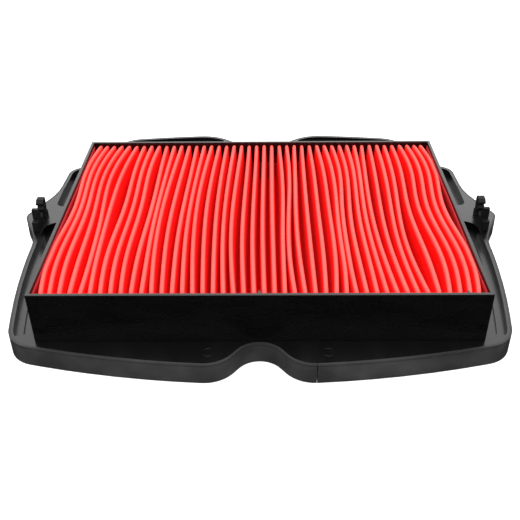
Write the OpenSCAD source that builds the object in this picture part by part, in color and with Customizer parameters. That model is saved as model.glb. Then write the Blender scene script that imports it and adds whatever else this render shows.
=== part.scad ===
// Flanged panel air filter for a motorcycle airbox.
// X runs across the filter, Y from its front to its rear, Z up from the sealing face.

/* [Casing] */
// Outside width of the box that holds the pleats
casing_width = 240; // [190:1:300]
// Outside length of the box, front to rear
casing_length = 181.1; // [150:0.1:225]
// Height of the box above the flange
casing_height = 30.5; // [24:0.5:42]
// Thickness of the box walls
casing_wall = 2; // [1.6:0.1:3]
// Width of the inner ledge that the pleats stand on
ledge_width = 2.5; // [2:0.1:5]
// Thickness of the inner ledge
ledge_thickness = 1.6; // [1.2:0.1:2.4]
// How far the box reaches down through the flange
spigot_drop = 8.8; // [6:0.1:9]

/* [Flange] */
// Height of the flange and seal together
flange_height = 12.8; // [12:0.1:16]
// Flange beyond the side of the box
side_margin = 25.6; // [24:0.1:34]
// Flange in front of the box
front_margin = 18.6; // [17:0.1:24]
// Flange behind the box
rear_margin = 74.5; // [62:0.1:95]
// How far each ear stands out of the flange
ear_reach = 13.8; // [12:0.1:18]
// Thickness of the flange's top plate
plate_thickness = 2.2; // [1.8:0.1:3]
// Thickness of the flange's outer wall
rim_wall = 1.4; // [1.2:0.1:1.8]
// Depth of the pockets beside the box
pocket_depth = 5.2; // [4:0.1:5.6]
// Thickness of the pocket floors and inner walls
pocket_wall = 1.8; // [1.4:0.1:2]
// Width of the flange left between the pockets and the box
pocket_inset = 2; // [1.5:0.1:4]
// Width of the step along the outer side of the front pockets
pocket_step_width = 4.8; // [3:0.1:7]
// Height of the step along the outer side of the front pockets
pocket_step_height = 1.3; // [0.6:0.1:2.5]
// Depth of the shallow pockets in the two rear lobes
lobe_depth = 2.6; // [1.5:0.1:4]

/* [Seal] */
// Thickness of the upright band round the flange
seal_band = 1.2; // [1:0.1:1.6]
// Width of the seal's foot
seal_foot = 6; // [4.5:0.1:7]
// Height of the seal's foot
seal_foot_height = 2.4; // [1.8:0.1:2.6]
// Height of the lip above the groove in the band
seal_lip = 1.3; // [1:0.1:2]
// Height and depth of the groove under the lip
seal_groove = 0.3; // [0.3:0.1:0.7]
// Width of the butt joint in the seal
seal_joint = 0.3; // [0.3:0.1:0.8]

/* [Element] */
// Number of pleats
pleat_count = 44; // [36:1:52]
// Thickness of the pleated paper
paper_thickness = 0.75; // [0.5:0.05:0.9]
// Depth of the pleat tips below the rim of the box
pleat_recess = 1.3; // [1.2:0.1:4]
// Thickness of the adhesive round the pleats
bond_thickness = 0.8; // [0.6:0.1:1.5]
// Height of the adhesive round the pleats
bond_height = 14; // [10:1:23]
// Number of spaces between the ribs of the grid, across
grid_columns = 8; // [4:1:12]
// Number of spaces between the ribs of the grid, front to rear
grid_rows = 6; // [3:1:9]
// Width of the ribs of the grid
grid_rib = 2; // [1.6:0.1:3]
// Height of the grid
grid_height = 3; // [2:0.1:4]

/* [Clips] */
// Width of each clip along X
clip_width = 4.2; // [3.6:0.1:5]
// Height of the plinth under the fixed jaw
plinth_height = 7.4; // [6.5:0.1:9]
// Height of the fixed jaw above its plinth
jaw_height = 7.5; // [6.5:0.1:9]
// Radius of the round seat between jaw and hook
seat_radius = 2.9; // [2.5:0.1:3.1]
// Radius of the round root that the hook turns on
root_radius = 2; // [1.8:0.1:2.2]
// Clearance round the hook's root
root_clearance = 0.05; // [0.03:0.01:0.08]

/* [Hidden] */
$fn = 64;

half_width = casing_width / 2;
half_length = (front_margin + casing_length + rear_margin) / 2;
casing_front = -half_length + front_margin;
casing_rear = casing_front + casing_length;
casing_middle = (casing_front + casing_rear) / 2;
rim_top = flange_height + casing_height;
side_x = half_width + side_margin;
pocket_offset = seal_band + rim_wall;
pocket_floor = flange_height - pocket_depth;
lobe_floor = flange_height - lobe_depth;
spigot_bottom = flange_height - spigot_drop;
spigot_gap = 0.1;
opening_width = casing_width - 2 * casing_wall;
opening_length = casing_length - 2 * casing_wall;
spigot_inner_width = opening_width - 2 * ledge_width;
spigot_inner_length = opening_length - 2 * ledge_width;
cut = 1;

// Points of the outline's right half: x, y, radius of the corner.
outline_half = [
    [0, casing_front + 7, 13.8],
    [20, -half_length - 0.7, 19],
    [casing_width * 0.219, -half_length + 1.25, 480],
    [casing_width * 0.406, -half_length + 8, 480],
    [side_x - 10.6, -half_length + 17, 18],
    [side_x - 2.7, -half_length * 0.547, 450],
    [side_x - 0.2, -half_length * 0.274, 300],
    [side_x + 0.1, -17.7, 42],
    [side_x + ear_reach, 11, 9],
    [side_x - 1.4, 43, 50],
    [side_x - 2.9, casing_rear + 19.4, 11],
    [half_width - 2, casing_rear + 20.9, 10],
    [half_width - 5.5, half_length - 7.4, 22],
    [casing_width * 0.302, half_length - 1.7, 560],
    [casing_width * 0.15, half_length + 0.8, 31],
    [0, half_length - 30.6, 25]
];
half_count = len(outline_half);
outline_corners = [
    for (i = [0:half_count - 1]) outline_half[i],
    for (i = [half_count - 2:-1:1])
        [-outline_half[i][0], outline_half[i][1], outline_half[i][2]]
];

corner_count = len(outline_corners);

function corner(i) = outline_corners[(i + corner_count) % corner_count];
function corner_point(i) = [corner(i)[0], corner(i)[1]];
function turned(v, a) = [v[0] * cos(a) - v[1] * sin(a), v[0] * sin(a) + v[1] * cos(a)];

// Unit vector that points into the outline from the edge before a corner.
function inward(i) =
    let (a = corner_point(i - 1))
    let (b = corner_point(i))
    [a[1] - b[1], b[0] - a[0]] / norm(b - a);

function corner_turn(i) = atan2(cross(inward(i), inward(i + 1)), inward(i) * inward(i + 1));

// Length of edge that the rounding of a corner takes up on each side of it.
function corner_reach(i) = corner(i)[2] * tan(abs(corner_turn(i)) / 2);

// Share of the rounding that fits on the edge between a corner and its neighbour.
function edge_share(i, j) =
    0.99 * norm(corner_point(i) - corner_point(j)) / (corner_reach(i) + corner_reach(j));

function corner_radius(i) = corner(i)[2] * min(1, edge_share(i, i - 1), edge_share(i, i + 1));

// Arc that rounds a corner, moved inward by an inset.
function corner_arc(i, inset) =
    let (n1 = inward(i))
    let (n2 = inward(i + 1))
    let (turn = corner_turn(i))
    let (side = turn > 0 ? 1 : -1)
    let (radius = corner_radius(i))
    let (centre = corner_point(i) + side * radius * (n1 + n2) / (1 + n1 * n2))
    let (steps = max(3, ceil(abs(turn) / 9)))
    [for (k = [0:steps]) centre - (side * radius - inset) * turned(n1, turn * k / steps)];

function outline(inset) = [for (i = [0:corner_count - 1]) for (p = corner_arc(i, inset)) p];

module outline_area(inset) {
    polygon(outline(inset));
}

module rounded_area(x0, x1, y0, y1, radius) {
    translate([x0 + radius, y0])
        square([x1 - x0 - 2 * radius, y1 - y0]);
    translate([x0, y0 + radius])
        square([x1 - x0, y1 - y0 - 2 * radius]);
    for (x = [x0 + radius, x1 - radius])
        for (y = [y0 + radius, y1 - radius])
            translate([x, y])
                circle(radius);
}

module centred_area(width, length) {
    translate([-width / 2, casing_middle - length / 2])
        square([width, length]);
}

module opening_area(gap) {
    centred_area(opening_width + 2 * gap, opening_length + 2 * gap);
}

// Pocket beside the box and ahead of the ear, grown outward on every side.
module front_pocket_area(grow) {
    intersection() {
        outline_area(pocket_offset - grow);
        rounded_area(half_width + pocket_inset - grow, side_x - 2.5 + grow,
            casing_front + 4.5 - grow, 3 + grow, 9.5 + grow);
    }
}

// Pocket behind the ear, which turns the corner behind the box.
module rear_pocket_area(grow) {
    intersection() {
        outline_area(pocket_offset - grow);
        union() {
            rounded_area(half_width + pocket_inset - grow, side_x - 4 + grow,
                24 - grow, casing_rear + 30, 5 + grow);
            translate([half_width - 8 - grow, casing_rear + pocket_inset - grow])
                square([20, 16.5 - pocket_inset + 2 * grow]);
        }
    }
}

module front_pocket_areas(grow) {
    for (side = [0, 1])
        mirror([side, 0, 0])
            front_pocket_area(grow);
}

module rear_pocket_areas(grow) {
    for (side = [0, 1])
        mirror([side, 0, 0])
            rear_pocket_area(grow);
}

module pocket_areas(grow) {
    front_pocket_areas(grow);
    rear_pocket_areas(grow);
}

// Shallow pocket in the lobe behind the box.
module lobe_area(grow) {
    intersection() {
        outline_area(pocket_offset - grow);
        rounded_area(casing_width * 0.125 - grow, half_width - 14 + grow,
            casing_rear + 34 - grow, half_length + 20, 6 + grow);
    }
}

module lobe_areas(grow) {
    for (side = [0, 1])
        mirror([side, 0, 0])
            lobe_area(grow);
}

// Rubber seal round the flange: an upright band on a flat foot, butt-jointed in front.
module perimeter_seal() {
    joint_x = 29.7;
    groove_top = flange_height - seal_lip;
    color([0.17, 0.17, 0.18])
        difference() {
            union() {
                linear_extrude(seal_foot_height)
                    difference() {
                        outline_area(0);
                        outline_area(seal_foot);
                    }
                translate([0, 0, seal_foot_height])
                    linear_extrude(groove_top - seal_groove - seal_foot_height)
                        difference() {
                            outline_area(0);
                            outline_area(seal_band);
                        }
                translate([0, 0, groove_top - seal_groove])
                    linear_extrude(seal_groove)
                        difference() {
                            outline_area(seal_groove);
                            outline_area(seal_band);
                        }
                translate([0, 0, groove_top])
                    linear_extrude(seal_lip)
                        difference() {
                            outline_area(0);
                            outline_area(seal_band);
                        }
            }
            translate([joint_x, -half_length - cut, -cut])
                cube([seal_joint, seal_foot + 3 * cut, flange_height + 2 * cut]);
        }
}

// Moulded flange: a plate with a downturned rim, an opening for the box and side pockets.
module flange_tray() {
    color([0.13, 0.13, 0.14])
        difference() {
            translate([0, 0, seal_foot_height])
                linear_extrude(flange_height - seal_foot_height)
                    difference() {
                        outline_area(seal_band);
                        opening_area(spigot_gap);
                    }
            translate([0, 0, seal_foot_height - cut])
                linear_extrude(flange_height - plate_thickness - seal_foot_height + cut)
                    difference() {
                        outline_area(pocket_offset);
                        pocket_areas(pocket_wall);
                        lobe_areas(pocket_wall);
                    }
            translate([0, 0, seal_foot_height - cut])
                linear_extrude(pocket_floor - pocket_wall - seal_foot_height + cut)
                    intersection() {
                        outline_area(pocket_offset);
                        pocket_areas(pocket_wall);
                    }
            translate([0, 0, seal_foot_height - cut])
                linear_extrude(lobe_floor - pocket_wall - seal_foot_height + cut)
                    intersection() {
                        outline_area(pocket_offset);
                        lobe_areas(pocket_wall);
                    }
            translate([0, 0, lobe_floor])
                linear_extrude(lobe_depth + cut)
                    lobe_areas(0);
            translate([0, 0, pocket_floor])
                linear_extrude(pocket_depth + cut) {
                    intersection() {
                        front_pocket_areas(0);
                        outline_area(pocket_offset + pocket_step_width);
                    }
                    rear_pocket_areas(0);
                }
            translate([0, 0, pocket_floor + pocket_step_height])
                linear_extrude(pocket_depth + cut)
                    front_pocket_areas(0);
        }
}

// Box round the pleats: upright walls on a narrower spigot that passes through the flange.
module element_casing() {
    nib_width = 2.4;
    nib_height = 1.1;
    nib_reach = 2.6;
    color([0.12, 0.12, 0.13]) union() {
        translate([0, 0, flange_height])
            linear_extrude(casing_height)
                difference() {
                    centred_area(casing_width, casing_length);
                    opening_area(0);
                }
        translate([0, 0, spigot_bottom])
            linear_extrude(spigot_drop + ledge_thickness)
                difference() {
                    opening_area(0);
                    centred_area(spigot_inner_width, spigot_inner_length);
                }
        for (x = [0, casing_width * 0.446])
            translate([x, casing_front + casing_wall, rim_top - nib_height])
                linear_extrude(nib_height)
                    polygon([[-nib_width / 2, -casing_wall / 2], [nib_width / 2, -casing_wall / 2],
                        [0.3, nib_reach], [-0.3, nib_reach]]);
    }
}

pack_width = opening_width - 2 * bond_thickness;
pack_length = opening_length - 2 * bond_thickness;
pleat_pitch = pack_width / pleat_count;
ledge_top = flange_height + ledge_thickness;
pleat_bottom = ledge_top;
pleat_top = rim_top - pleat_recess;
fold_outer = (pleat_pitch / 2 + paper_thickness) / 2 - 0.55;
fold_inner = pleat_pitch / 2 - fold_outer - paper_thickness;

// Pleated paper, folded to and fro across the box and open between the folds.
module pleated_paper() {
    inner_top = pleat_top - 1.5;
    inner_bottom = pleat_bottom + 1.5;
    x0 = -pack_width / 2;
    upper = [for (k = [0:pleat_count - 1])
        let (x = x0 + (k + 0.5) * pleat_pitch)
        let (v = x + pleat_pitch / 2)
        for (p = [[x - fold_outer, pleat_top - 1.2], [x - 0.4 * fold_outer, pleat_top],
            [x + 0.4 * fold_outer, pleat_top], [x + fold_outer, pleat_top - 1.2],
            [v - fold_inner, inner_bottom], [v + fold_inner, inner_bottom]])
            if (k < pleat_count - 1 || p[0] < v - fold_inner - 0.01) p];
    lower = [for (k = [pleat_count - 1:-1:0])
        let (x = x0 + (k + 0.5) * pleat_pitch)
        let (v = x - pleat_pitch / 2)
        for (p = [[x + fold_inner, inner_top], [x - fold_inner, inner_top],
            [v + fold_outer, pleat_bottom + 1.2], [v + 0.4 * fold_outer, pleat_bottom],
            [v - 0.4 * fold_outer, pleat_bottom], [v - fold_outer, pleat_bottom + 1.2]])
            if (k > 0 || p[0] > v + fold_outer + 0.01) p];
    right_end = [[pack_width / 2, inner_bottom + 1], [pack_width / 2, pleat_bottom],
        [pack_width / 2 - fold_outer, pleat_bottom + 1.2]];
    left_end = [[-pack_width / 2 + fold_outer, pleat_bottom + 1.2],
        [-pack_width / 2, pleat_bottom], [-pack_width / 2, inner_bottom + 1]];
    color([0.85, 0.16, 0.14])
        translate([0, casing_middle + pack_length / 2, 0])
            rotate([90, 0, 0])
                linear_extrude(pack_length)
                    polygon(concat(upper, right_end, lower, left_end));
}

module cross_bond(y) {
    color([0.55, 0.1, 0.1])
        translate([-opening_width / 2, y, ledge_top])
            cube([opening_width, bond_thickness, bond_height]);
}

module side_bond(x) {
    color([0.55, 0.1, 0.1])
        translate([x, casing_middle - pack_length / 2, ledge_top])
            cube([bond_thickness, pack_length, bond_height]);
}

// Adhesive between the front wall and the ends of the pleats.
module front_bond() {
    cross_bond(casing_front + casing_wall);
}

// Adhesive between the rear wall and the ends of the pleats.
module rear_bond() {
    cross_bond(casing_rear - casing_wall - bond_thickness);
}

// Adhesive between the left wall and the last pleat.
module left_bond() {
    side_bond(-opening_width / 2);
}

// Adhesive between the right wall and the last pleat.
module right_bond() {
    side_bond(opening_width / 2 - bond_thickness);
}

// Grid under the pleats, which stops the airflow pulling them down.
module support_grid() {
    cell_width = (spigot_inner_width - grid_rib) / grid_columns;
    cell_length = (spigot_inner_length - grid_rib) / grid_rows;
    color([0.1, 0.1, 0.11])
        translate([0, 0, ledge_top - grid_height])
            linear_extrude(grid_height)
                difference() {
                    centred_area(spigot_inner_width, spigot_inner_length);
                    for (i = [0:grid_columns - 1])
                        for (j = [0:grid_rows - 1])
                            translate([-spigot_inner_width / 2 + grid_rib + i * cell_width,
                                casing_middle - spigot_inner_length / 2 + grid_rib
                                + j * cell_length])
                                square([cell_width - grid_rib, cell_length - grid_rib]);
                }
}

clip_x = side_x - 1.4;
seat_y = 0.5;
plinth_front = seat_y - 10.5;
plinth_rear = seat_y + 3.3;
jaw_front = plinth_front + 4;
plinth_top = flange_height + plinth_height;
seat_z = plinth_top + seat_radius * 0.55;
root_y = seat_y + seat_radius + 6.4;
root_z = flange_height + root_radius + 1;
hook_top = plinth_top + 6.8;

// Profile drawn in Y and Z, given a thickness along X.
module across(x, width) {
    translate([x, 0, 0])
        rotate([90, 0, 90])
            linear_extrude(width)
                children();
}

module circle_at(y, z, radius) {
    translate([y, z])
        circle(radius);
}

// Fixed half of the snap clip: plinth, round seat, jaw and the cradle of the hook.
module clip_body() {
    base_height = 1.2;
    base_overlap = 1;
    cradle_reach = 4;
    cradle_lip = 0.9;
    bevel = 1.2;
    jaw_top = plinth_top + jaw_height;
    jaw_rear = seat_y - seat_radius;
    color([0.1, 0.1, 0.11]) union() {
        translate([clip_x, plinth_rear - base_overlap, flange_height])
            cube([clip_width, root_y - cradle_reach - plinth_rear + 2 * base_overlap,
                base_height]);
        across(clip_x, clip_width)
            difference() {
                polygon([[plinth_front, flange_height], [plinth_rear, flange_height],
                    [plinth_rear, plinth_top], [jaw_rear, plinth_top],
                    [jaw_rear, jaw_top - bevel], [jaw_rear - bevel, jaw_top],
                    [jaw_front, jaw_top], [jaw_front, plinth_top],
                    [plinth_front, plinth_top]]);
                circle_at(seat_y, seat_z, seat_radius);
            }
        across(clip_x, clip_width)
            difference() {
                polygon([[root_y - cradle_reach, flange_height],
                    [root_y + cradle_reach, flange_height],
                    [root_y + cradle_reach, root_z + cradle_lip],
                    [root_y - cradle_reach, root_z + cradle_lip]]);
                circle_at(root_y, root_z, root_radius + root_clearance);
                polygon([[root_y - 1.6, root_z + 1], [root_y - 2.2, root_z + 3],
                    [root_y + 3.2, root_z + 3], [root_y + 2.2, root_z + 0.5],
                    [root_y + 1.2, root_z], [root_y - 1.2, root_z]]);
            }
    }
}

// Springy half of the snap clip: it leans back to let a line into the seat.
module clip_hook() {
    side_gap = 0.02;
    barb = 0.6;
    arm = 1.1;
    nose_z = seat_z - 0.4;
    chin_z = nose_z - 2.2;
    neck_z = chin_z - 1.5;
    head_z = nose_z + 2.4;
    color([0.1, 0.1, 0.11]) union() {
        across(clip_x + side_gap, clip_width - 2 * side_gap)
            difference() {
                circle_at(root_y, root_z, root_radius);
                translate([root_y - arm, root_z])
                    square([2 * arm, root_radius]);
            }
        across(clip_x + side_gap, clip_width - 2 * side_gap)
            polygon([[root_y - arm, root_z], [root_y - 1.3, neck_z],
                [root_y - 4.2, chin_z], [root_y - 4.6, nose_z],
                [root_y - 2.4, head_z], [root_y - 1.6, hook_top],
                [root_y + 2.6, hook_top], [root_y + 3, head_z],
                [root_y + 1.9, neck_z], [root_y + arm, root_z]]);
        across(clip_x + side_gap, clip_width + barb - side_gap)
            polygon([[root_y - 3.8, head_z + 0.2], [root_y + 2.95, head_z + 0.2],
                [root_y + 2.6, hook_top], [root_y - 1.4, hook_top],
                [root_y - 3.8, head_z + 1.6]]);
    }
}

// Fixed half of the clip on the left ear.
module left_clip_body() {
    mirror([1, 0, 0])
        clip_body();
}

// Hook of the clip on the left ear.
module left_clip_hook() {
    mirror([1, 0, 0])
        clip_hook();
}

// Fixed half of the clip on the right ear.
module right_clip_body() {
    clip_body();
}

// Hook of the clip on the right ear.
module right_clip_hook() {
    clip_hook();
}

perimeter_seal();
flange_tray();
element_casing();
pleated_paper();
front_bond();
rear_bond();
left_bond();
right_bond();
support_grid();
left_clip_body();
left_clip_hook();
right_clip_body();
right_clip_hook();
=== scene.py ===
"""Visual model of a flanged panel air filter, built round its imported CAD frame."""

import logging
import math
from collections.abc import Sequence
from dataclasses import dataclass
from enum import Enum

import bmesh
import bpy
from mathutils import Matrix, Vector


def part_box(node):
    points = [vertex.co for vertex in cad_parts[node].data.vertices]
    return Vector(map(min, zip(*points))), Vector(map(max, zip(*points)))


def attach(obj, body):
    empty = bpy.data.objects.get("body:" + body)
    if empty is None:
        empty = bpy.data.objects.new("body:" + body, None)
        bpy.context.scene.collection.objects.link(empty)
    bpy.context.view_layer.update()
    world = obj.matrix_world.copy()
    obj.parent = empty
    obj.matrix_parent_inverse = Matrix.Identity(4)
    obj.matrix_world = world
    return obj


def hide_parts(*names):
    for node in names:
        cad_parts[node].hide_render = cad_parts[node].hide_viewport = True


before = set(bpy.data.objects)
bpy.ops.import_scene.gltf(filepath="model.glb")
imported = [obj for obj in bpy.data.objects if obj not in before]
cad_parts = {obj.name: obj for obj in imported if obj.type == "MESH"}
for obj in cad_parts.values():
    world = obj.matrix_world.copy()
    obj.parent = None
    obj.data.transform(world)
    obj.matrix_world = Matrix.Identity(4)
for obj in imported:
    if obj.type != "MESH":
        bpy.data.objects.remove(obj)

log = logging.getLogger("air_filter")

MM = 0.001
WHITE = (1.0, 1.0, 1.0)
EVEN = (1.0, 1.0, 1.0)

Triple = tuple[float, float, float]
Colour = Triple


class Slot(Enum):
    """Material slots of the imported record."""

    FRAME = "frame_plastic"
    CLIP = "clip_plastic"
    SEAL = "seal_rubber"
    PAPER = "filter_paper"
    BOND = "bond_adhesive"


class Body(Enum):
    """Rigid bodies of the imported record."""

    FILTER = "filter"
    LEFT_HOOK = "left_hook"
    RIGHT_HOOK = "right_hook"


class Side(Enum):
    """Side of the filter that a piece is on, as the sign of its X."""

    LEFT = -1
    RIGHT = 1

    @property
    def word(self) -> str:
        """Name of the side as the CAD nodes spell it."""
        return self.name.lower()


class Shader:
    """Node tree of one material, with short methods for the nodes the finishes share."""

    def __init__(self, name: str) -> None:
        """Start a material whose patterns read Object coordinates.

        Args:
            name: Name of the material.
        """
        self.material = bpy.data.materials.new(name)
        self.material.use_nodes = True
        self.tree = self.material.node_tree
        self.surface = self.tree.nodes["Principled BSDF"]
        self.place = self.tree.nodes.new("ShaderNodeTexCoord").outputs["Object"]

    def link(self, output: bpy.types.NodeSocket, target: bpy.types.NodeSocket) -> None:
        """Join an output socket to an input socket."""
        self.tree.links.new(output, target)

    def set(self, **values: float | tuple[float, ...]) -> None:
        """Set constant inputs of the Principled shader.

        Args:
            values: Input names in lower case with underscores, and their values.
        """
        for name, value in values.items():
            socket = next(
                s for s in self.surface.inputs
                if s.name.lower().replace(" ", "_") == name
            )
            is_colour = isinstance(value, tuple) and len(value) == 3
            socket.default_value = (*value, 1.0) if is_colour else value

    def noise(
        self, scale: float, detail: float = 3.0, stretch: Triple = EVEN
    ) -> bpy.types.NodeSocket:
        """Add a noise pattern.

        Args:
            scale: Pattern cells per metre.
            detail: Octaves of finer noise.
            stretch: Factors on the cell count along X, Y and Z.

        Returns:
            Output socket of the noise, from 0 to 1.
        """
        mapping = self.tree.nodes.new("ShaderNodeMapping")
        mapping.inputs["Scale"].default_value = stretch
        self.link(self.place, mapping.inputs["Vector"])
        node = self.tree.nodes.new("ShaderNodeTexNoise")
        node.inputs["Scale"].default_value = scale
        node.inputs["Detail"].default_value = detail
        self.link(mapping.outputs["Vector"], node.inputs["Vector"])
        return node.outputs["Fac"]

    def height(self, low: float, high: float) -> bpy.types.NodeSocket:
        """Measure how far a point lies up between two heights.

        Args:
            low: Height in metres that reads 0.
            high: Height in metres that reads 1.

        Returns:
            Output socket of the smoothed share, from 0 to 1.
        """
        split = self.tree.nodes.new("ShaderNodeSeparateXYZ")
        self.link(self.place, split.inputs["Vector"])
        return self.spread(split.outputs["Z"], low, high, smooth=True)

    def spread(
        self,
        value: bpy.types.NodeSocket,
        low: float,
        high: float,
        new_low: float = 0.0,
        new_high: float = 1.0,
        smooth: bool = False,
    ) -> bpy.types.NodeSocket:
        """Map a value from one range onto another.

        Args:
            value: Socket to read.
            low: Value that becomes new_low.
            high: Value that becomes new_high.
            new_low: Result at low.
            new_high: Result at high.
            smooth: Ease in and out of both ends.

        Returns:
            Output socket of the mapped value.
        """
        node = self.tree.nodes.new("ShaderNodeMapRange")
        node.interpolation_type = "SMOOTHSTEP" if smooth else "LINEAR"
        node.inputs["From Min"].default_value = low
        node.inputs["From Max"].default_value = high
        node.inputs["To Min"].default_value = new_low
        node.inputs["To Max"].default_value = new_high
        self.link(value, node.inputs["Value"])
        return node.outputs["Result"]

    def blend(
        self,
        share: bpy.types.NodeSocket,
        first: Colour | bpy.types.NodeSocket,
        second: Colour | bpy.types.NodeSocket,
    ) -> bpy.types.NodeSocket:
        """Mix two colours.

        Args:
            share: Share of the second colour.
            first: Colour where the share is 0.
            second: Colour where the share is 1.

        Returns:
            Output socket of the mixed colour.
        """
        node = self.tree.nodes.new("ShaderNodeMix")
        node.data_type = "RGBA"
        self.link(share, node.inputs["Factor"])
        colour_inputs = [s for s in node.inputs if s.type == "RGBA"]
        for socket, colour in zip(colour_inputs, (first, second)):
            if isinstance(colour, tuple):
                socket.default_value = (*colour, 1.0)
            else:
                self.link(colour, socket)
        return next(s for s in node.outputs if s.type == "RGBA")

    def colour(self, output: bpy.types.NodeSocket) -> None:
        """Drive the base colour."""
        self.link(output, self.surface.inputs["Base Color"])

    def roughness(self, output: bpy.types.NodeSocket) -> None:
        """Drive the roughness."""
        self.link(output, self.surface.inputs["Roughness"])

    def bump(self, *layers: tuple[bpy.types.NodeSocket, float]) -> None:
        """Stack bump layers on the surface.

        Args:
            layers: Pattern sockets, each with its depth in metres.
        """
        normal = None
        for pattern, depth in layers:
            node = self.tree.nodes.new("ShaderNodeBump")
            node.inputs["Distance"].default_value = depth
            self.link(pattern, node.inputs["Height"])
            if normal is not None:
                self.link(normal, node.inputs["Normal"])
            normal = node.outputs["Normal"]
        self.link(normal, self.surface.inputs["Normal"])


@dataclass(frozen=True)
class MouldedPlastic:
    """Black injection-moulded plastic with a fine grain and faint flow marks."""

    name: str
    dark: Colour
    pale: Colour
    smoothest: float
    roughest: float
    shine: float
    cloud_cells: float = 38.0
    flow_cells: float = 60.0
    flow_stretch: Triple = (1.0, 0.25, 3.0)
    flow_depth: float = 0.012 * MM
    grain_cells: float = 1700.0
    grain_depth: float = 0.02 * MM

    def build(self) -> bpy.types.Material:
        """Make the material.

        Returns:
            The finished plastic.
        """
        shader = Shader(self.name)
        shader.set(specular_ior_level=self.shine, ior=1.5)
        clouds = shader.noise(self.cloud_cells, 4.0)
        flow = shader.noise(self.flow_cells, 3.0, self.flow_stretch)
        grain = shader.noise(self.grain_cells, 2.0)
        shader.colour(shader.blend(clouds, self.dark, self.pale))
        shader.roughness(
            shader.spread(flow, 0.3, 0.7, self.smoothest, self.roughest)
        )
        shader.bump((grain, self.grain_depth), (flow, self.flow_depth))
        return shader.material


@dataclass(frozen=True)
class SealRubber:
    """Dull black rubber with a faint bloom and a matt skin."""

    name: str = "seal_rubber_skin"
    dark: Colour = (0.020, 0.020, 0.020)
    bloom: Colour = (0.042, 0.041, 0.041)
    shine: float = 0.3
    smoothest: float = 0.5
    roughest: float = 0.62
    patch_cells: float = 45.0
    skin_cells: float = 1400.0
    skin_depth: float = 0.05 * MM

    def build(self) -> bpy.types.Material:
        """Make the material.

        Returns:
            The finished rubber.
        """
        shader = Shader(self.name)
        shader.set(specular_ior_level=self.shine)
        patches = shader.noise(self.patch_cells, 5.0)
        skin = shader.noise(self.skin_cells, 3.0)
        shader.colour(
            shader.blend(shader.spread(patches, 0.4, 0.75), self.dark, self.bloom)
        )
        shader.roughness(
            shader.spread(patches, 0.3, 0.7, self.smoothest, self.roughest)
        )
        shader.bump((skin, self.skin_depth))
        return shader.material


@dataclass(frozen=True)
class OiledPaper:
    """Red oiled filter paper: fibrous, with painted shade darkening the bottoms of the folds
    and a painted highlight paling the tips.

    The faint glow stands for the light that comes through the thin paper.
    """

    tip_height: float
    name: str = "oiled_paper"
    # Painted shade: the bottoms of the folds are mixed towards this darker red.
    fold_shade: Colour = (0.66, 0.0008, 0.0008)
    deep: Colour = (0.86, 0.003, 0.003)
    flank: Colour = (0.97, 0.010, 0.009)
    # Painted highlight: the tips are mixed towards this paler pink, standing in for the
    # light that falls on them.
    crease: Colour = (0.99, 0.115, 0.10)
    glow: float = 0.1
    glow_colour: Colour = (1.0, 0.001, 0.001)
    shine: float = 0.06
    sheen: float = 0.02
    sheen_colour: Colour = (1.0, 0.55, 0.5)
    smoothest: float = 0.55
    roughest: float = 0.72
    # Depths below the tips over which the painted highlight fades in.
    crease_end: float = 3.2 * MM
    crease_start: float = 0.1 * MM
    # Depths below the tips over which the painted shade fades out.
    flank_end: float = 13.0 * MM
    flank_start: float = 1.5 * MM
    fibre_cells: float = 1500.0
    fibre_stretch: Triple = (1.0, 0.35, 1.0)
    fibre_depth: float = 0.06 * MM
    mottle_cells: float = 160.0
    mottle_depth: float = 0.12 * MM

    def build(self) -> bpy.types.Material:
        """Make the material.

        Returns:
            The finished paper.
        """
        shader = Shader(self.name)
        shader.set(
            specular_ior_level=self.shine,
            sheen_weight=self.sheen,
            sheen_roughness=0.4,
            sheen_tint=self.sheen_colour,
            emission_color=self.glow_colour,
            emission_strength=self.glow,
        )
        fibres = shader.noise(self.fibre_cells, 5.0, self.fibre_stretch)
        mottle = shader.noise(self.mottle_cells, 4.0)
        top = self.tip_height
        # Share of the painted highlight, rising over the top few millimetres of each tip.
        crown = shader.height(top - self.crease_end, top - self.crease_start)
        # Share out of the painted shade, rising from the bottoms of the folds to just under
        # the tips.
        unshaded_share = shader.height(top - self.flank_end, top - self.flank_start)
        mottled = shader.blend(shader.spread(mottle, 0.3, 0.7), self.deep, self.flank)
        body = shader.blend(unshaded_share, self.fold_shade, mottled)
        # Painted shade low in the folds, random mottle on the flanks, painted highlight on
        # the tips.
        shader.colour(shader.blend(crown, body, self.crease))
        shader.roughness(
            shader.spread(fibres, 0.3, 0.7, self.smoothest, self.roughest)
        )
        shader.bump((fibres, self.fibre_depth), (mottle, self.mottle_depth))
        return shader.material


@dataclass(frozen=True)
class CastAdhesive:
    """Dark red adhesive with a smooth poured skin."""

    name: str = "cast_adhesive"
    dark: Colour = (0.10, 0.006, 0.006)
    light: Colour = (0.30, 0.015, 0.012)
    shine: float = 0.4
    smoothest: float = 0.35
    roughest: float = 0.5
    cloud_cells: float = 180.0
    cloud_depth: float = 0.15 * MM

    def build(self) -> bpy.types.Material:
        """Make the material.

        Returns:
            The finished adhesive.
        """
        shader = Shader(self.name)
        shader.set(specular_ior_level=self.shine)
        cloud = shader.noise(self.cloud_cells, 3.0)
        shader.colour(shader.blend(cloud, self.dark, self.light))
        shader.roughness(
            shader.spread(cloud, 0.3, 0.7, self.smoothest, self.roughest)
        )
        shader.bump((cloud, self.cloud_depth))
        return shader.material


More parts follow.
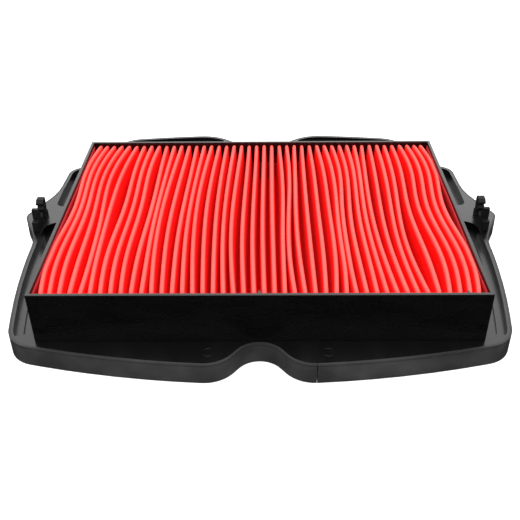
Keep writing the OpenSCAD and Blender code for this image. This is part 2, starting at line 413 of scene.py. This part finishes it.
class Workshop:
    """Shared steps that turn a bmesh into a finished piece of the model."""

    SHARP_EDGE = math.radians(28.0)
    FLAT_JOIN = math.radians(0.4)
    WELD = 0.002 * MM
    SMOOTH_ANGLE = 50.0
    SHEET_ANGLE = 60.0

    @staticmethod
    def piece(
        bm: bmesh.types.BMesh, name: str, body: Body, slot: Slot, finish: bpy.types.Material
    ) -> bpy.types.Object:
        """Make an object from a bmesh and put it on its body.

        Args:
            bm: Mesh in the frame's own coordinates; it is freed here.
            name: Name of the piece.
            body: Rigid body it moves with.
            slot: Material slot of the record; not used.
            finish: Material to wear.

        Returns:
            The new object.
        """
        mesh = bpy.data.meshes.new(name)
        bm.to_mesh(mesh)
        bm.free()
        mesh.materials.append(finish)
        thing = bpy.data.objects.new(name, mesh)
        bpy.context.scene.collection.objects.link(thing)
        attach(thing, body.value)
        log.info("%s: %d faces, on %s", name, len(mesh.polygons), body.value)
        return thing

    @staticmethod
    def shade(thing: bpy.types.Object, angle: float, weighted: bool = False) -> None:
        """Shade smooth up to an angle.

        Args:
            thing: Object to shade.
            angle: Largest angle in degrees that still looks smooth.
            weighted: Lean the normals towards the large faces.
        """
        for face in thing.data.polygons:
            face.use_smooth = True
        thing.data.set_sharp_from_angle(angle=math.radians(angle))
        if weighted:
            modifier = thing.modifiers.new("weighted", "WEIGHTED_NORMAL")
            modifier.keep_sharp = True

    @staticmethod
    def thicken(sheet: bpy.types.Object, thickness: float) -> None:
        """Give a sheet its thickness, half on each side of its middle.

        Args:
            sheet: Sheet to thicken.
            thickness: Thickness in metres.
        """
        modifier = sheet.modifiers.new("paper", "SOLIDIFY")
        modifier.thickness = thickness
        modifier.offset = 0.0
        modifier.use_even_offset = False

    @staticmethod
    def softened(
        node: str,
        name: str,
        body: Body,
        slot: Slot,
        finish: bpy.types.Material,
        radius: float,
    ) -> bpy.types.Object:
        """Copy a CAD node and round its edges as a mould leaves them.

        Args:
            node: CAD node that the copy replaces.
            name: Name of the new piece.
            body: Rigid body it moves with.
            slot: Material slot of the record.
            finish: Material to wear.
            radius: Width of the rounded edges in metres.

        Returns:
            The new object.
        """
        bm = bmesh.new()
        bm.from_mesh(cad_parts[node].data)
        bmesh.ops.remove_doubles(bm, verts=bm.verts, dist=Workshop.WELD)
        bmesh.ops.dissolve_limit(
            bm, angle_limit=Workshop.FLAT_JOIN, verts=bm.verts, edges=bm.edges
        )
        edges = [
            e for e in bm.edges
            if len(e.link_faces) == 2 and e.calc_face_angle(0.0) > Workshop.SHARP_EDGE
        ]
        bmesh.ops.bevel(
            bm, geom=edges, offset=radius, offset_type="OFFSET", segments=2, profile=0.5,
            affect="EDGES", material=-1, clamp_overlap=True, loop_slide=True,
        )
        thing = Workshop.piece(bm, name, body, slot, finish)
        Workshop.shade(thing, Workshop.SMOOTH_ANGLE, weighted=True)
        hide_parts(node)
        return thing


@dataclass(frozen=True)
class Sway:
    """How far one pleat's tip wanders to the side along its length, in millimetres."""

    pleat: int
    bow: float
    skew: float
    ripple: float

    def mixed(self, other: "Sway", share: float) -> "Sway":
        """Find the sway part of the way from this pleat's to another's.

        Args:
            other: Sway of the other pleat.
            share: Share of the way to it.

        Returns:
            The sway between them.
        """
        return Sway(
            self.pleat,
            self.bow + (other.bow - self.bow) * share,
            self.skew + (other.skew - self.skew) * share,
            self.ripple + (other.ripple - self.ripple) * share,
        )

    def at(self, along: float) -> float:
        """Find the sideways shift at a place along the pleat.

        Args:
            along: Share of the length from the front.

        Returns:
            Shift in metres, positive to the right.
        """
        turn = math.pi * along
        waves = (
            self.bow * math.sin(turn)
            + self.skew * math.sin(2 * turn)
            + self.ripple * math.sin(3 * turn)
        )
        return waves * MM


SWAYS = (
    Sway(1, -2.8, -0.2, -2.0),
    Sway(3, -4.0, 1.0, -1.5),
    Sway(5, -4.0, 2.5, -0.5),
    Sway(6, -5.0, 0.5, -0.5),
    Sway(7, -2.0, -0.5, -1.0),
    Sway(9, -2.5, 0.0, -1.0),
    Sway(10, -0.5, -0.5, -0.5),
    Sway(11, -2.0, 0.0, 0.0),
    Sway(12, -4.5, -0.5, 0.0),
    Sway(14, -2.0, -0.5, 0.0),
    Sway(16, -4.5, 0.0, 0.0),
    Sway(18, -2.5, 0.0, 0.0),
    Sway(20, -3.5, -0.5, 0.0),
    Sway(21, -2.0, -0.5, 0.0),
    Sway(24, -0.5, 0.0, 0.0),
    Sway(25, 1.0, -0.5, 0.0),
    Sway(26, -1.0, -1.5, 0.0),
    Sway(27, -2.0, -0.5, 0.0),
    Sway(28, -0.5, 0.0, 0.0),
    Sway(30, 3.0, 0.0, 0.5),
    Sway(31, 3.0, -0.5, 0.5),
    Sway(32, 0.0, -2.0, 0.5),
    Sway(34, -0.5, -1.0, 0.5),
    Sway(36, -4.0, -0.5, 0.0),
    Sway(38, -2.0, -1.5, 0.0),
    Sway(39, -3.0, -2.0, 0.0),
    Sway(40, -1.0, -0.5, 1.0),
    Sway(41, 1.0, 0.0, 2.0),
    Sway(44, 2.0, 0.0, 2.5),
)


@dataclass
class PaperSpace:
    """Space inside the box that the folded paper fills, taken from the frame."""

    pleats: int = 44
    rows: int = 50
    thickness: float = 0.6 * MM
    end_room: float = 0.2 * MM
    side_room: float = 1.75 * MM
    top_room: float = 0.05 * MM

    def __post_init__(self) -> None:
        """Work out the limits and the pitch of the pleats."""
        low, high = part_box("pleated_paper")
        self.front, self.rear = low.y + self.end_room, high.y - self.end_room
        self.half_width = high.x
        self.bottom = low.z + self.thickness / 2
        self.top = high.z - self.thickness / 2 - self.top_room
        self.pitch = 2 * (self.half_width - self.side_room) / (self.pleats - 0.5)

    @property
    def length(self) -> float:
        """Length of the pleats in metres."""
        return self.rear - self.front


@dataclass
class Pleats:
    """Paper folded into pleats that wander from side to side and crowd each other."""

    space: PaperSpace
    paper: bpy.types.Material
    tip_radius: float = 0.85 * MM
    valley_radius: float = 0.8 * MM
    arc_steps: int = 3
    flank_steps: int = 3
    # The outermost pleats stand a little closer together than the rest.
    edge_squeeze: float = 1.2 * MM
    squeezed_pleats: int = 2
    # Neighbouring tips push each other apart, softly at first.
    tip_room: float = 0.12 * MM
    softness: float = 0.6 * MM
    passes: int = 6
    # Valleys go half of the way that the tips beside them go.
    valley_follow: float = 0.5
    outer_reach: float = 1.9 * MM
    # Flanks bulge, tips stand unevenly and drop where they meet the end walls.
    belly: float = 0.25 * MM
    unevenness: float = 0.12 * MM
    end_round: float = 1.6 * MM
    end_drop: float = 0.35 * MM
    crowding: float = 0.11

    @property
    def steps(self) -> int:
        """Segments across one pleat."""
        return 2 * (2 * self.arc_steps + self.flank_steps)

    def sway(self, pleat: int) -> Sway:
        """Find the sway of a pleat, from the two listed pleats round it.

        Args:
            pleat: Number of the pleat, from 1 on the left.

        Returns:
            Its sway.
        """
        after = next(i for i, s in enumerate(SWAYS) if s.pleat >= pleat)
        if SWAYS[after].pleat == pleat:
            return SWAYS[after]
        low, high = SWAYS[after - 1], SWAYS[after]
        return low.mixed(high, (pleat - low.pleat) / (high.pleat - low.pleat))

    def resting(self, index: float) -> float:
        """Place a fold before it wanders.

        Args:
            index: Number of the fold; tips are at whole numbers from 0, valleys half-way.

        Returns:
            X in metres.
        """
        centre = (self.space.pleats - 1) / 2
        even = (index - centre) * self.space.pitch
        past = max(0.0, abs(index - centre) - (centre - self.squeezed_pleats))
        edge = past / self.squeezed_pleats
        return even - math.copysign(self.edge_squeeze * edge**2, even)

    def tips(self, along: float) -> list[float]:
        """Place every tip across the box at a share of the length.

        Args:
            along: Share of the length from the front.

        Returns:
            X of each tip in metres, with room for the paper between neighbours.
        """
        closest = 2 * self.tip_radius + self.space.thickness + self.tip_room
        limit = self.space.half_width - self.tip_radius
        places = [
            self.resting(k) + self.sway(k + 1).at(along)
            for k in range(self.space.pleats)
        ]
        for _ in range(self.passes):
            for k in range(1, self.space.pleats):
                lack = closest - (places[k] - places[k - 1])
                push = (math.hypot(lack, self.softness) + lack) / 4
                places[k - 1] -= push
                places[k] += push
            places[0] = max(places[0], -limit)
            places[-1] = min(places[-1], limit)
        return places

    def valleys(self, tips: Sequence[float]) -> list[float]:
        """Place every valley; they follow the tips half-way.

        Args:
            tips: X of each tip at the same share of the length.

        Returns:
            X of each valley, from the left wall to the right wall.
        """
        inner = []
        for k in range(self.space.pleats - 1):
            still = self.resting(k + 0.5)
            moved = (tips[k] + tips[k + 1]) / 2
            inner.append(still + self.valley_follow * (moved - still))
        edge = self.space.half_width - self.valley_radius - self.space.thickness
        left = max(-edge, tips[0] - self.outer_reach)
        right = min(edge, tips[-1] + self.outer_reach)
        return [left, *inner, right]

    def fold(
        self, across: float, way: float, tip: float, valley: float, top: float
    ) -> tuple[float, float]:
        """Follow the paper from a valley up to a tip.

        Args:
            across: Share of the way, in steps, from the valley's centre to the tip's centre.
            way: 1 for the flank that the tip lies to the right of, -1 for the other flank.
            tip: X of the tip.
            valley: X of the valley.
            top: Height of the tip.

        Returns:
            X and Z of the paper's middle surface.
        """
        quarter = math.pi / 2
        bottom = self.space.bottom
        if across <= self.arc_steps:
            angle = quarter * across / self.arc_steps
            return (
                valley + way * self.valley_radius * math.sin(angle),
                bottom + self.valley_radius * (1 - math.cos(angle)),
            )
        if across >= self.arc_steps + self.flank_steps:
            angle = quarter * (self.steps / 2 - across) / self.arc_steps
            return (
                tip - way * self.tip_radius * math.sin(angle),
                top - self.tip_radius * (1 - math.cos(angle)),
            )
        share = (across - self.arc_steps) / self.flank_steps
        start = Vector((valley + way * self.valley_radius, bottom + self.valley_radius))
        end = Vector((tip - way * self.tip_radius, top - self.tip_radius))
        point = start.lerp(end, share)
        sag = self.belly * math.sin(math.pi * share)
        return point.x - way * sag, point.y

    def crown(self, pleat: int, along: float, shift: float) -> float:
        """Find the height of a tip, which dips where it leans and at both ends.

        Args:
            pleat: Number of the pleat, from 0 on the left.
            along: Share of the length from the front.
            shift: How far the tip stands beside its resting place.

        Returns:
            Z in metres.
        """
        depth = self.space.top - self.space.bottom
        lean = shift * shift / (2 * depth)
        uneven = self.unevenness * (1 + math.sin(1.7 * pleat + 5.0 * along))
        near_end = min(along, 1 - along) * self.space.length / self.end_round
        dip = self.end_drop * max(0.0, 1 - near_end) ** 2
        return self.space.top - lean - uneven - dip

    def along(self, row: float) -> float:
        """Space the rows so that they crowd towards both ends."""
        return row - self.crowding * math.sin(2 * math.pi * row) / math.pi

    def build(self) -> None:
        """Fold a flat grid into the wandering pleats."""
        space = self.space
        columns = space.pleats * self.steps
        bm = bmesh.new()
        bmesh.ops.create_grid(
            bm, x_segments=columns, y_segments=space.rows, size=0.5
        )
        half = self.steps / 2
        by_row: dict[int, list[bmesh.types.BMVert]] = {}
        for vert in bm.verts:
            by_row.setdefault(round((vert.co.y + 0.5) * space.rows), []).append(vert)
        for row, verts in by_row.items():
            along = self.along(row / space.rows)
            tips = self.tips(along)
            valleys = self.valleys(tips)
            y = space.front + along * space.length
            for vert in verts:
                step = round((vert.co.x + 0.5) * columns)
                pleat = min(int(step // self.steps), space.pleats - 1)
                inside = step - pleat * self.steps
                tip = tips[pleat]
                top = self.crown(pleat, along, tip - self.resting(pleat))
                if inside <= half:
                    x, z = self.fold(inside, 1.0, tip, valleys[pleat], top)
                else:
                    x, z = self.fold(self.steps - inside, -1.0, tip, valleys[pleat + 1], top)
                vert.co = (x, y, z)
        bmesh.ops.recalc_face_normals(bm, faces=bm.faces)
        paper = Workshop.piece(bm, "pleats", Body.FILTER, Slot.PAPER, self.paper)
        Workshop.shade(paper, Workshop.SHEET_ANGLE)
        Workshop.thicken(paper, space.thickness)
        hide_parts("pleated_paper")


@dataclass
class EndFlap:
    """Strip of paper that turns up against a side wall and rests on the adhesive."""

    space: PaperSpace
    paper: bpy.types.Material
    side: Side
    thickness: float = 0.4 * MM
    inset: float = 0.36 * MM
    outset: float = 0.55 * MM
    foot: float = 1.0 * MM
    bend: float = 0.3 * MM
    step_below: float = 0.6 * MM
    step_above: float = 1.0 * MM
    wave: float = 0.1 * MM
    drop: float = 0.3 * MM
    dip: float = 0.4 * MM

    def build(self) -> None:
        """Bend a flat grid up over the adhesive and along the wall."""
        space, sign = self.space, self.side.value
        below = space.half_width - self.inset
        above = space.half_width + self.outset
        bond_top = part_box(f"{self.side.word}_bond")[1].z
        bm = bmesh.new()
        bmesh.ops.create_grid(bm, x_segments=6, y_segments=space.rows, size=0.5)
        for vert in bm.verts:
            along = vert.co.y + 0.5
            wave = self.wave * math.sin(5.2 * along + sign) ** 2
            dip = self.dip * math.sin(3.3 * along + sign) ** 2
            lip = space.top - self.drop - dip
            profile = (
                (below - self.foot, space.bottom),
                (below - self.bend, space.bottom + 0.05 * MM),
                (below, space.bottom + 0.5 * MM),
                (below, bond_top - self.step_below),
                (above - wave, bond_top + self.step_above),
                (above - wave, (bond_top + lip) / 2),
                (above - wave, lip),
            )
            x, z = profile[round((vert.co.x + 0.5) * (len(profile) - 1))]
            vert.co = (sign * x, space.front + along * space.length, z)
        bmesh.ops.recalc_face_normals(bm, faces=bm.faces)
        flap = Workshop.piece(
            bm, f"{self.side.word}_end_flap", Body.FILTER, Slot.PAPER, self.paper
        )
        Workshop.shade(flap, Workshop.SHEET_ANGLE)
        Workshop.thicken(flap, self.thickness)


class Run(Enum):
    """Which way a strip of adhesive runs, as the number of its axis."""

    ACROSS = 0
    ALONG = 1


@dataclass
class BondStrip:
    """Strip of adhesive along a wall, with a top that creeps up and down by the pleats."""

    node: str
    run: Run
    pitch: float
    adhesive: bpy.types.Material
    cuts: int = 87
    edge: float = 0.3 * MM
    crest: float = 0.2
    slack: float = 0.01 * MM

    def build(self) -> None:
        """Cut a bar into short lengths, round its top and let the top sink."""
        low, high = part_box(self.node)
        size, centre = high - low, (high + low) / 2
        bm = bmesh.new()
        bmesh.ops.create_cube(bm, size=1.0)
        bmesh.ops.scale(bm, vec=size, verts=bm.verts)
        bmesh.ops.translate(bm, vec=centre, verts=bm.verts)
        axis = self.run.value
        long_edges = [
            e for e in bm.edges
            if abs(e.verts[0].co[axis] - e.verts[1].co[axis]) > size[axis] / 2
        ]
        bmesh.ops.subdivide_edges(
            bm, edges=long_edges, cuts=self.cuts, use_grid_fill=True
        )
        top_edges = [
            e for e in bm.edges
            if min(v.co.z for v in e.verts) > high.z - self.slack
            and abs(e.verts[0].co[axis] - e.verts[1].co[axis]) > self.slack
        ]
        bmesh.ops.bevel(
            bm, geom=top_edges, offset=self.edge, offset_type="OFFSET", segments=2,
            profile=0.5, affect="EDGES", material=-1,
        )
        for vert in bm.verts:
            rise = (vert.co.z - low.z) / size.z
            place = vert.co[axis] / self.pitch
            ripple = 0.7 * (1 - math.cos(2 * math.pi * place))
            drift = 0.5 * math.sin(0.61 * place)
            crest = max(0.0, rise - (1 - self.crest)) / self.crest
            vert.co.z -= crest * (0.55 + ripple + drift) * MM
        bond = Workshop.piece(
            bm, f"{self.node}_strip", Body.FILTER, Slot.BOND, self.adhesive
        )
        Workshop.shade(bond, Workshop.SMOOTH_ANGLE)
        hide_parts(self.node)


@dataclass
class Element:
    """Pleated paper with its end flaps and the adhesive that holds it in the box."""

    paper: bpy.types.Material
    # Darker copy of the paper for the end flaps: painted shade.
    flap_paper: bpy.types.Material
    adhesive: bpy.types.Material

    def build_bond(self, node: str, run: Run, pitch: float) -> None:
        """Build one strip of adhesive."""
        BondStrip(node, run, pitch, self.adhesive).build()

    def build(self) -> None:
        """Build the paper, both flaps and the four strips of adhesive."""
        space = PaperSpace()
        Pleats(space, self.paper).build()
        for side in Side:
            EndFlap(space, self.flap_paper, side).build()
            self.build_bond(f"{side.word}_bond", Run.ALONG, space.pitch)
        for node in ("front_bond", "rear_bond"):
            self.build_bond(node, Run.ACROSS, space.pitch)


@dataclass
class Housing:
    """Moulded box, flange and grid, with the marks that the mould leaves on them."""

    plastic: bpy.types.Material
    edge: float = 0.3 * MM
    rim_edge: float = 0.45 * MM
    mark_radius: float = 3.0 * MM
    mark_wire: float = 0.12 * MM
    mark_flatness: float = 0.6
    mark_ahead: float = 9.0 * MM
    mark_places: tuple[float, ...] = (-27.0 * MM, 36.0 * MM)

    def build_mark(self, name: str, x: float, y: float) -> None:
        """Make the fine ring that an ejector pin leaves on the flange.

        Args:
            name: Name of the piece.
            x: Place across the filter.
            y: Place along the filter.
        """
        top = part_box("flange_tray")[1].z
        bm = bmesh.new()
        bmesh.ops.create_circle(bm, segments=8, radius=self.mark_wire)
        bmesh.ops.rotate(
            bm, verts=bm.verts, cent=(0, 0, 0),
            matrix=Matrix.Rotation(math.radians(90.0), 3, "X"),
        )
        bmesh.ops.translate(bm, verts=bm.verts, vec=(self.mark_radius, 0, 0))
        bmesh.ops.spin(
            bm, geom=bm.verts[:] + bm.edges[:], cent=(0, 0, 0), axis=(0, 0, 1),
            angle=2 * math.pi, steps=40, use_merge=True, use_duplicate=False,
        )
        bmesh.ops.remove_doubles(bm, verts=bm.verts, dist=0.001 * MM)
        bmesh.ops.scale(bm, verts=bm.verts, vec=(1, 1, self.mark_flatness))
        bmesh.ops.translate(bm, verts=bm.verts, vec=(x, y, top))
        bmesh.ops.recalc_face_normals(bm, faces=bm.faces)
        mark = Workshop.piece(bm, name, Body.FILTER, Slot.FRAME, self.plastic)
        Workshop.shade(mark, Workshop.SHEET_ANGLE)

    def build(self) -> None:
        """Build the box, the flange, the grid and the mould marks."""
        for node, name, radius in (
            ("element_casing", "casing_shell", self.rim_edge),
            ("flange_tray", "flange_moulding", self.edge),
            ("support_grid", "support_lattice", self.edge),
        ):
            Workshop.softened(
                node, name, Body.FILTER, Slot.FRAME, self.plastic, radius
            )
        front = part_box("element_casing")[0].y
        for index, x in enumerate(self.mark_places, start=1):
            self.build_mark(f"ejector_mark_{index}", x, front - self.mark_ahead)


@dataclass
class Seal:
    """Rubber seal round the flange."""

    rubber: bpy.types.Material
    edge: float = 0.2 * MM

    def build(self) -> None:
        """Build the seal."""
        Workshop.softened(
            "perimeter_seal", "rubber_seal", Body.FILTER, Slot.SEAL, self.rubber, self.edge
        )


@dataclass
class SnapClip:
    """Snap clip on one ear: a fixed body and the hook that springs back."""

    side: Side
    plastic: bpy.types.Material
    edge: float = 0.25 * MM

    @property
    def hook_body(self) -> Body:
        """Rigid body of this clip's hook."""
        return Body.LEFT_HOOK if self.side is Side.LEFT else Body.RIGHT_HOOK

    def build(self) -> None:
        """Build the fixed body and the hook."""
        for part, body in (("body", Body.FILTER), ("hook", self.hook_body)):
            Workshop.softened(
                f"{self.side.word}_clip_{part}",
                f"{self.side.word}_snap_{part}",
                body,
                Slot.CLIP,
                self.plastic,
                self.edge,
            )


@dataclass(frozen=True)
class Softbox:
    """Soft rectangular light that faces the filter."""

    name: str
    place: Triple
    width: float
    depth: float
    watts: float

    def build(self) -> None:
        """Hang the light."""
        light = bpy.data.lights.new(self.name, "AREA")
        light.shape = "RECTANGLE"
        light.size, light.size_y = self.width, self.depth
        light.energy = self.watts
        lamp = bpy.data.objects.new(self.name, light)
        lamp.location = self.place
        lamp.rotation_euler = (-Vector(self.place)).to_track_quat("-Z", "Y").to_euler()
        bpy.context.scene.collection.objects.link(lamp)


@dataclass
class Studio:
    """Camera, pale floor and soft light."""

    lens: float = 51.3
    eye: Triple = (0.00294, -0.41956, 0.27145)
    tilt: Triple = (55.564, 0.3443, 0.2241)
    floor_half: float = 9.0
    floor_drop: float = 0.2 * MM
    floor_glow: float = 0.5
    sky: float = 0.95
    sky_dark_below: float = -0.25
    softboxes: tuple[Softbox, ...] = (
        Softbox("back_softbox", (0.0, 1.9, 1.15), 3.4, 1.7, 28.0),
        Softbox("top_softbox", (0.0, -0.1, 2.0), 2.0, 2.0, 40.0),
    )

    def build_camera(self) -> None:
        """Place the camera, turned by its tilt in degrees."""
        camera = bpy.data.cameras.new("camera")
        camera.lens = self.lens
        camera.sensor_width = 36.0
        camera.clip_start = 0.01
        camera.clip_end = 60.0
        view = bpy.data.objects.new("camera", camera)
        view.location = self.eye
        view.rotation_euler = [math.radians(angle) for angle in self.tilt]
        bpy.context.scene.collection.objects.link(view)
        bpy.context.scene.camera = view

    def build_floor(self) -> None:
        """Lay a pale glowing floor that the glossy plastic doesn't mirror."""
        bm = bmesh.new()
        bmesh.ops.create_grid(bm, x_segments=1, y_segments=1, size=self.floor_half)
        bmesh.ops.translate(bm, verts=bm.verts, vec=(0, 0, -self.floor_drop))
        mesh = bpy.data.meshes.new("floor")
        bm.to_mesh(mesh)
        bm.free()
        shader = Shader("floor_white")
        shader.set(
            base_color=(0.8, 0.8, 0.8),
            roughness=1.0,
            specular_ior_level=0.0,
            emission_color=WHITE,
            emission_strength=self.floor_glow,
        )
        mesh.materials.append(shader.material)
        floor = bpy.data.objects.new("floor", mesh)
        bpy.context.scene.collection.objects.link(floor)
        floor.visible_glossy = False

    def build_sky(self) -> None:
        """Light everything evenly from above the horizon, and leave it dark below."""
        world = bpy.data.worlds.new("studio")
        world.use_nodes = True
        tree = world.node_tree
        split = tree.nodes.new("ShaderNodeSeparateXYZ")
        fade = tree.nodes.new("ShaderNodeMapRange")
        fade.interpolation_type = "SMOOTHSTEP"
        fade.inputs["From Min"].default_value = self.sky_dark_below
        fade.inputs["From Max"].default_value = 0.0
        fade.inputs["To Max"].default_value = self.sky
        heading = tree.nodes.new("ShaderNodeTexCoord").outputs["Generated"]
        tree.links.new(heading, split.inputs["Vector"])
        tree.links.new(split.outputs["Z"], fade.inputs["Value"])
        tree.links.new(fade.outputs["Result"], tree.nodes["Background"].inputs["Strength"])
        tree.nodes["Background"].inputs["Color"].default_value = (*WHITE, 1.0)
        bpy.context.scene.world = world

    def build(self) -> None:
        """Set up the studio."""
        self.build_camera()
        self.build_floor()
        self.build_sky()
        for softbox in self.softboxes:
            softbox.build()
        bpy.context.scene.view_settings.view_transform = "Standard"


def main() -> None:
    """Build the studio, then every sub-assembly in order."""
    logging.basicConfig(level=logging.INFO, format="%(message)s")
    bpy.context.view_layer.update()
    Studio().build()
    frame_plastic = MouldedPlastic(
        "satin_black",
        dark=(0.0012, 0.0012, 0.0012),
        pale=(0.0028, 0.0028, 0.0028),
        smoothest=0.22,
        roughest=0.32,
        shine=0.42,
    ).build()
    clip_plastic = MouldedPlastic(
        "matt_black",
        dark=(0.004, 0.004, 0.004),
        pale=(0.009, 0.009, 0.009),
        smoothest=0.5,
        roughest=0.6,
        shine=0.12,
    ).build()
    tip_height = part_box("pleated_paper")[1].z
    paper = OiledPaper(tip_height).build()
    # The end flaps wear a darker, greyer copy of the paper: painted shade for the shadow
    # they stand in against the side walls.
    flap_paper = OiledPaper(
        tip_height,
        name="dull_paper",
        fold_shade=(0.12, 0.002, 0.002),
        deep=(0.30, 0.004, 0.005),
        flank=(0.38, 0.010, 0.012),
        crease=(0.45, 0.035, 0.04),
        glow=0.0,
    ).build()
    Housing(frame_plastic).build()
    Seal(SealRubber().build()).build()
    Element(paper, flap_paper, CastAdhesive().build()).build()
    for side in Side:
        SnapClip(side, clip_plastic).build()


if __name__ == "__main__":
    main()
